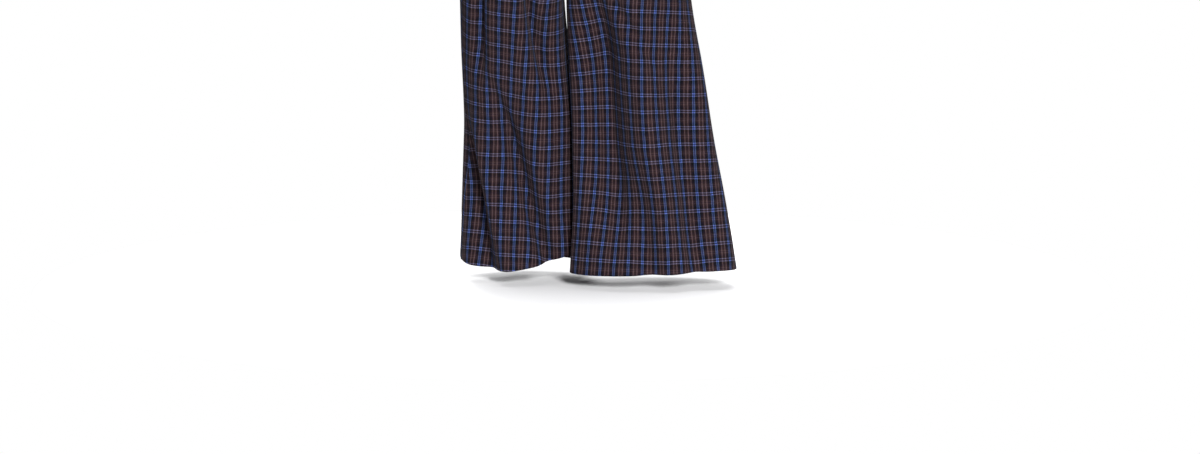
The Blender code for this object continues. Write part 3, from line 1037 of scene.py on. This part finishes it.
shield_rows = np.linspace(BAND_HEIGHT + SEAM_GAP, SHIELD_BOTTOM, SHIELD_ROWS + 1)
shield_columns = np.linspace(-SHIELD_RIGHT, SHIELD_LEFT, SHIELD_COLUMNS + 1)
shield_drops, shield_across = np.meshgrid(shield_rows, shield_columns, indexing="ij")
shield_points = shield_surface(shield_drops, shield_across, SOLID_WALL + SHIELD_GAP)
shield_flat = shield_points[..., [0, 2]]
shield = grid_piece("fly_shield_cloth", shield_points, shield_flat, True, SOLID_WALL, CHECK)
cuts["fly_shield"] = flat_size(shield_flat)
print(f"fly shield: {cuts['fly_shield'][0]:.3f} by {cuts['fly_shield'][1]:.3f} m")

# %% [markdown]
# ## A Geometry Nodes tree that sews
#
# A row of stitches is one small stitch, repeated along a path. The tree turns a path of
# edges into a curve, resamples it at the stitch pitch and puts a thin bead at each point.
# The bead's long side follows the path, and it lies flat against the cloth, because the
# path keeps the direction that points away from the cloth as an attribute. The pitch,
# length, thickness and slant are named inputs, so one tree sews every kind of stitch here.
# Its start and end are a function of their own, because the button's thread needs them too.

# %% Stitch tree
AWAY = "away_from_cloth"
BEAD_SHAPE = {"Segments": 8, "Rings": 5, "Radius": 0.5}


def thread_tree(name, sizes, make):
    """A tree that makes thread along a path of edges, with a named input for each size."""
    tree = bpy.data.node_groups.new(name, "GeometryNodeTree")
    tree.is_modifier = True
    inputs = [("Path", "Geometry"), *((size, "Float") for size in sizes), ("Thread", "Material")]
    for label, kind in inputs:
        tree.interface.new_socket(label, in_out="INPUT", socket_type=f"NodeSocket{kind}")
    tree.interface.new_socket("Sewing", in_out="OUTPUT", socket_type="NodeSocketGeometry")
    entry = tree.nodes.new("NodeGroupInput").outputs
    curve = add_node(tree, "GeometryNodeMeshToCurve", {"Mesh": entry["Path"]})
    made = make(tree, entry, curve.outputs["Curve"])
    real = add_node(tree, "GeometryNodeRealizeInstances", {"Geometry": made})
    finish = {"Geometry": real.outputs["Geometry"], "Material": entry["Thread"]}
    finished = add_node(tree, "GeometryNodeSetMaterial", finish)
    add_node(tree, "NodeGroupOutput", {"Sewing": finished.outputs["Geometry"]})
    return tree


def aligned(tree, axis, inputs, pivot="AUTO"):
    kind = "FunctionNodeAlignRotationToVector"
    return add_node(tree, kind, inputs, axis=axis, pivot_axis=pivot).outputs["Rotation"]


def bead(tree, entry):
    """One stitch: a ball drawn out along X."""
    ball = add_node(tree, "GeometryNodeMeshUVSphere", BEAD_SHAPE)
    thick = entry["Thread thickness"]
    size = add_node(tree, "ShaderNodeCombineXYZ", {"X": entry["Stitch length"], "Y": thick, "Z": thick})
    inputs = {"Geometry": ball.outputs["Mesh"], "Scale": size.outputs["Vector"]}
    return add_node(tree, "GeometryNodeTransform", inputs).outputs["Geometry"]


def lying_rotation(tree, entry):
    """Along the path, flat on the cloth, then turned by the slant."""
    tangent = tree.nodes.new("GeometryNodeInputTangent").outputs["Tangent"]
    kind = "GeometryNodeInputNamedAttribute"
    away = add_node(tree, kind, {"Name": AWAY}, data_type="FLOAT_VECTOR").outputs["Attribute"]
    along = aligned(tree, "X", {"Vector": tangent})
    lying = aligned(tree, "Z", {"Rotation": along, "Vector": away}, "X")
    slant = add_node(tree, "ShaderNodeCombineXYZ", {"Z": entry["Slant"]}).outputs["Vector"]
    inputs = {"Rotation": lying, "Rotate By": slant}
    turned = add_node(tree, "FunctionNodeRotateRotation", inputs, rotation_space="LOCAL")
    return turned.outputs["Rotation"]


def stitch_row(tree, entry, curve):
    inputs = {"Curve": curve, "Length": entry["Pitch"]}
    evenly = add_node(tree, "GeometryNodeResampleCurve", inputs, mode="LENGTH")
    inputs = {
        "Points": evenly.outputs["Curve"],
        "Instance": bead(tree, entry),
        "Rotation": lying_rotation(tree, entry),
    }
    return add_node(tree, "GeometryNodeInstanceOnPoints", inputs).outputs["Instances"]


STITCH_SIZES = ("Pitch", "Stitch length", "Thread thickness", "Slant")
STITCHES = thread_tree("row_of_stitches", STITCH_SIZES, stitch_row)

# %% [markdown]
# ## From path to stitches
#
# A path is a list of points with the direction away from the cloth at each. It becomes a
# mesh of edges, the tree runs on it, and the result is kept as a plain mesh.

# %% Sewing helper
Path = namedtuple("Path", "points away")
Stitch = namedtuple("Stitch", "pitch length thickness slant")
AWAY_STEP = 0.001


def path_mesh(name, paths):
    points = np.concatenate([path.points for path in paths])
    away = np.concatenate([path.away for path in paths])
    edges = []
    start = 0
    for path in paths:
        stop = start + len(path.points)
        edges += [(index, index + 1) for index in range(start, stop - 1)]
        start = stop
    mesh = bpy.data.meshes.new(name)
    mesh.from_pydata(points.tolist(), edges, [])
    kept = mesh.attributes.new(AWAY, "FLOAT_VECTOR", "POINT")
    kept.data.foreach_set("vector", away.astype(np.float32).ravel())
    return mesh


def sewn(name, paths, tree, sizes):
    """Runs a thread tree along the paths and keeps the result as a plain mesh."""
    piece = new_object(name, path_mesh(name, paths))
    modifier = piece.modifiers.new("sewing", "NODES")
    modifier.node_group = tree
    inputs = [item for item in tree.interface.items_tree if item.in_out == "INPUT"]
    for item, value in zip(inputs[1:], (*sizes, THREAD)):
        modifier[item.identifier] = value
    bpy.context.view_layer.update()
    graph = bpy.context.evaluated_depsgraph_get()
    plain_mesh = bpy.data.meshes.new_from_object(piece.evaluated_get(graph))
    piece.modifiers.clear()
    piece.data = plain_mesh
    plain_mesh.shade_smooth()
    print(f"{name}: {len(plain_mesh.polygons)} faces")
    return piece


def with_away(surface, drops, angles, inset):
    """A path on a surface, and the direction away from the cloth along it."""
    on_cloth = surface(drops, angles, inset)
    away = surface(drops, angles, inset + AWAY_STEP) - on_cloth
    return Path(on_cloth, away / np.linalg.norm(away, axis=-1, keepdims=True))


# %% [markdown]
# ## Stitches on the waistband
#
# Two rows run round the band, one near each edge, and a short one goes down its left end.

# %% Waistband stitches
TOP_STITCH = Stitch(0.0032, 0.0025, 0.00045, 0.0)
THREAD_SUNK = 0.00012
ROW_POINTS = 500
END_ROW_POINTS = 20


def on_band(drops, angles, sunk):
    """A path on the band's outer side, which rises where the left end lies on top."""
    every_drop = np.broadcast_to(drops, angles.shape)
    return with_away(band_surface, every_drop, angles, lap_rise(angles) + sunk)


first_end, last_end = band_angles()[[0, -1]]
row_angles = np.linspace(first_end, last_end, ROW_POINTS + 1)
end_angles = np.full(END_ROW_POINTS, last_end + round_front(STITCH_INSET))
edge_drops = (STITCH_INSET, BAND_HEIGHT - STITCH_INSET)
band_rows = [on_band(drop, row_angles, THREAD_SUNK - STITCH_DENT) for drop in edge_drops]
band_rows.append(on_band(np.linspace(*edge_drops, END_ROW_POINTS), end_angles, THREAD_SUNK))
band_stitches = sewn("waistband_stitches", band_rows, STITCHES, TOP_STITCH)

# %% [markdown]
# The buttonhole is a slit under the button. The button hides the slit, so only the close
# stitches along its two sides are made, with the same tree turned across the path.

# %% Buttonhole
BUTTONHOLE_HALF = 0.0105
BUTTONHOLE_GAP = 0.0009
BUTTONHOLE_POINTS = 40
HOLE_STITCH = Stitch(0.00045, 0.0022, 0.00040, math.pi / 2)

hole_across = np.linspace(-BUTTONHOLE_HALF, BUTTONHOLE_HALF, BUTTONHOLE_POINTS)
hole_angles = FRONT_AGAIN + round_front(hole_across)
hole_drops = (BAND_HEIGHT / 2 - BUTTONHOLE_GAP, BAND_HEIGHT / 2 + BUTTONHOLE_GAP)
hole_rows = [on_band(drop, hole_angles, THREAD_SUNK) for drop in hole_drops]
buttonhole = sewn("buttonhole_stitches", hole_rows, STITCHES, HOLE_STITCH)

# %% [markdown]
# ## Stitches on the fly
#
# The fly is held by the curved double row that every pair of such trousers has on its left
# front. It starts under the band, runs down beside the opening and turns in to the seam.

# %% Fly stitches
FLY_WIDTH = 0.034
FLY_START_DROP = BAND_HEIGHT + 0.003
FLY_TURN_DROP = 0.150
FLY_END_DROP = 0.186
FLY_ROW_GAP = 0.005
FLY_FROM_SEAM = 0.002
FLY_POINTS = 40
FLY_BEND_POINTS = 30


def on_leg(leg, drops, angles, inset):
    """A path on a leg's cloth."""
    return with_away(partial(leg_surface, leg), drops, angles, inset)


def fly_row(width):
    """Down beside the opening, then round a quarter of an oval to the middle seam."""
    deep = FLY_END_DROP - FLY_TURN_DROP + width - FLY_WIDTH
    straight = np.linspace(FLY_START_DROP, FLY_TURN_DROP, FLY_POINTS)
    bend = np.linspace(0.0, math.pi / 2, FLY_BEND_POINTS)[1:]
    drops = np.concatenate([straight, FLY_TURN_DROP + deep * np.sin(bend)])
    from_middle = np.concatenate([np.full(len(straight), width), width * np.cos(bend)])
    from_middle = np.maximum(from_middle, FLY_FROM_SEAM)
    out, _, wide, _, _ = through_rows(LEFT.rings, drops)
    angles = -np.degrees(np.arccos(np.clip((from_middle - out) / wide, -1.0, 1.0)))
    return on_leg(LEFT, drops, angles, THREAD_SUNK)


fly_rows = [fly_row(FLY_WIDTH), fly_row(FLY_WIDTH - FLY_ROW_GAP)]
fly_stitches = sewn("fly_stitches", fly_rows, STITCHES, TOP_STITCH)

# %% [markdown]
# ## Stitches at the hems
#
# A blind hem shows only as tiny pricks outside. Inside, slanting stitches hold the raw
# edge of the turned-up cloth.

# %% Hem stitches
PRICK = Stitch(0.0090, 0.0009, 0.00035, 0.0)
FELLING = Stitch(0.0045, 0.0052, 0.00050, 0.9)
HEM_INSIDE = 0.0036
RAW_EDGE_DROP = HEM_DROP - HEM_TURN_UP
PRICKS_BELOW = 0.002
HEM_ROW_ENDS = (0.01, 0.99)
HEM_ROW_POINTS = 260


def hem_rows(leg, drop, inset, facing):
    """One path on each panel of a leg, clear of the side seam and the inner seam."""
    shares = np.linspace(*HEM_ROW_ENDS, HEM_ROW_POINTS)
    drops = np.full(len(shares), drop)
    rows = []
    for which in ("front", "back"):
        row = on_leg(leg, drops, column_angles(leg, drops, which, shares), inset)
        rows.append(Path(row.points, row.away * facing))
    return rows


hem_stitches = []
for leg in (LEFT, RIGHT):
    pricks = hem_rows(leg, RAW_EDGE_DROP + PRICKS_BELOW, 0.0, 1.0)
    hem_stitches.append(sewn(f"hem_pricks_{leg.name}", pricks, STITCHES, PRICK))
    felling = hem_rows(leg, RAW_EDGE_DROP, -HEM_INSIDE, -1.0)
    hem_stitches.append(sewn(f"hem_felling_{leg.name}", felling, STITCHES, FELLING))

# %% [markdown]
# ## Thread in the button
#
# Two pairs of holes are sewn with parallel strands. Each strand is a short curve that
# rises out of one hole and goes down the other, turned into a tube with Curve to Mesh in
# a second small tree.

# %% Button thread
BUTTON_HOLE_RADIUS = 0.0019
BUTTON_THICKNESS = 0.0034
BUTTON_DISH = 0.0008
STRAND_RADIUS = 0.00042
STRAND_POINTS = 13
STRAND_SIDES = 8
STRAND_RISE = 3.6
STRAND_SUNK = 3.0


def strand_tube(tree, entry, curve):
    """A tube of a named radius along every path."""
    inputs = {"Resolution": STRAND_SIDES, "Radius": entry["Strand radius"]}
    ring = add_node(tree, "GeometryNodeCurvePrimitiveCircle", inputs)
    inputs = {"Curve": curve, "Profile Curve": ring.outputs["Curve"], "Fill Caps": True}
    return add_node(tree, "GeometryNodeCurveToMesh", inputs).outputs["Mesh"]


def front_frame():
    """The middle of the button's face, and the band's upward and outward directions there."""
    drop = np.array(BAND_HEIGHT / 2)
    slope = (WAIST_RINGS[1].half_depth - WAIST_RINGS[0].half_depth) / BAND_HEIGHT
    tilt = math.atan(slope)
    front = band_surface(drop, np.array(FRONT), BAND_WALL + 2 * SEAM_GAP)
    outward = np.array([0.0, -math.cos(tilt), math.sin(tilt)])
    upward = np.array([0.0, math.sin(tilt), math.cos(tilt)])
    return front + outward * BUTTON_THICKNESS, upward, outward


def strand_path(side):
    """Out of the lower hole, over the dish and down the upper one."""
    face, upward, outward = front_frame()
    hole = BUTTON_HOLE_RADIUS * math.sqrt(0.5)
    turn = np.linspace(0.0, math.pi, STRAND_POINTS)[:, None]
    rise = np.sin(turn) ** 0.5 * STRAND_RADIUS * STRAND_RISE - STRAND_RADIUS * STRAND_SUNK
    along = -np.cos(turn) * hole
    sideways = np.array([side * hole, 0.0, 0.0])
    dish = face - outward * BUTTON_DISH
    points = dish + sideways + along * upward + rise * outward
    return Path(points, np.repeat(outward[None, :], STRAND_POINTS, axis=0))


STRANDS = thread_tree("thread_strand", ("Strand radius",), strand_tube)
strand_paths = [strand_path(-1.0), strand_path(1.0)]
button_thread = sewn("button_thread", strand_paths, STRANDS, (STRAND_RADIUS,))
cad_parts["button"].material_slots[0].material = HORN

# %% [markdown]
# ## Floor and light
#
# The photograph has a white ground and soft light from near the camera. A bright world
# would also fill the folds and flatten them, so the world is white to the camera alone
# and dimmer to the cloth. A key lamp beside the camera models the folds, and a weak one
# fills their shadows. A wide lamp overhead keeps the floor pale, and one behind lights the
# back of the cloth, which the photograph doesn't show.

# %% Stage
FLOOR_Z = -1.060
FLOOR_RADIUS = 0.8
FLOOR_SIDES = 96
FLOOR_FINISH = {"Base Color": (0.86, 0.86, 0.87, 1.0), "Roughness": 0.9}
WORLD_SEEN = 1.0
WORLD_LIGHT = 0.09
LIT_POINT = (0.0, 0.0, -0.85)

Lamp = namedtuple("Lamp", "name azimuth elevation distance size power")
LAMPS = (
    Lamp("key", -18, 18, 3.4, 0.7, 215.0),
    Lamp("fill", -60, 18, 4.0, 2.5, 6.0),
    Lamp("overhead", 150, 74, 3.0, 3.0, 110.0),
    Lamp("rear", 160, 22, 3.4, 1.6, 120.0),
)


def towards(azimuth, elevation):
    """A unit vector from the object, 0 at the front and -90 at the garment's right."""
    a = math.radians(azimuth)
    e = math.radians(elevation)
    return np.array([math.sin(a) * math.cos(e), -math.cos(a) * math.cos(e), math.sin(e)])


def aim(obj, place, target):
    obj.location = place
    way = Vector(target) - Vector(place)
    obj.rotation_euler = way.to_track_quat("-Z", "Y").to_euler()


def floor_piece():
    mesh = bpy.data.meshes.new("floor")
    turns = np.linspace(0.0, 2 * math.pi, FLOOR_SIDES, endpoint=False)
    round_edge = (FLOOR_RADIUS * np.cos(turns), FLOOR_RADIUS * np.sin(turns))
    points = np.stack([*round_edge, np.full(FLOOR_SIDES, FLOOR_Z)], axis=-1)
    mesh.from_pydata(points.tolist(), [], [list(range(FLOOR_SIDES))])
    mesh.materials.append(new_material("pale_floor", FLOOR_FINISH)[0])
    return new_object("floor", mesh)


def studio_world():
    world = bpy.data.worlds.new("studio")
    world.use_nodes = True
    tree = world.node_tree
    seen = tree.nodes.new("ShaderNodeLightPath").outputs["Is Camera Ray"]
    strength = math_node(tree, "MULTIPLY_ADD", seen, WORLD_SEEN - WORLD_LIGHT, WORLD_LIGHT)
    white = {"Color": (1.0, 1.0, 1.0, 1.0), "Strength": strength}
    fill_inputs(tree, tree.nodes["Background"], white)
    bpy.context.scene.world = world
    bpy.context.scene.view_settings.view_transform = "Standard"


def hang_lamp(lamp):
    light = bpy.data.lights.new(lamp.name, "AREA")
    light.size = lamp.size
    light.energy = lamp.power
    obj = new_object(lamp.name, light)
    place = np.array(LIT_POINT) + lamp.distance * towards(lamp.azimuth, lamp.elevation)
    aim(obj, place, LIT_POINT)


floor_piece()
studio_world()
for lamp in LAMPS:
    hang_lamp(lamp)
print("lamps:", ", ".join(f"{lamp.name} {lamp.power:.0f} W" for lamp in LAMPS))

# %% [markdown]
# ## Camera
#
# The camera stands about hip high and to the garment's right, far enough away that the
# upright lines stay upright, as in the photograph. The frame holds the legs from the knee
# to the hem.

# %% Camera
CAMERA_AZIMUTH = -30.0
CAMERA_ELEVATION = 8.0
CAMERA_DISTANCE = 5.0
CAMERA_LENS = 100.0
CAMERA_SENSOR = 36.0
CAMERA_SEES = 100.0
TARGET_RIGHT = 0.0415
TARGET_Z = -0.9766

lens = bpy.data.cameras.new("camera")
lens.lens = CAMERA_LENS
lens.sensor_width = CAMERA_SENSOR
lens.clip_end = CAMERA_SEES
camera = new_object("camera", lens)
turned = math.radians(CAMERA_AZIMUTH)
target = (TARGET_RIGHT * math.cos(turned), TARGET_RIGHT * math.sin(turned), TARGET_Z)
away = CAMERA_DISTANCE * towards(CAMERA_AZIMUTH, CAMERA_ELEVATION)
aim(camera, np.array(target) + away, target)
bpy.context.scene.camera = camera
print(f"the camera stands {CAMERA_DISTANCE:.1f} m away, {camera.location.z - FLOOR_Z:.2f} m up")

# %% [markdown]
# ## Hand over
#
# Every piece rides on the one body. Each cloth piece stands for its imported solid, which is hidden.

# %% Hand over
def hand_over(piece, node, **cut):
    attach(piece, "root")
    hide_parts(node)


for name, piece in panels.items():
    width, length, area = cuts[name]
    hand_over(piece, name, flat=(width, length), area=area, held="hung", rests_on=["waistband"])
band_flat = (band_length, BAND_HEIGHT)
hand_over(waistband, "waistband", flat=band_flat, held="folded", rests_on=["front_left_cloth"])
width, length, area = cuts["fly_shield"]
shield_cut = {"flat": (width, length), "area": area}
hand_over(shield, "fly_shield", **shield_cut, held="hung", rests_on=["waistband_cloth"])

for piece in (band_stitches, buttonhole, fly_stitches, *hem_stitches):
    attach(piece, "root")
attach(button_thread, "root")
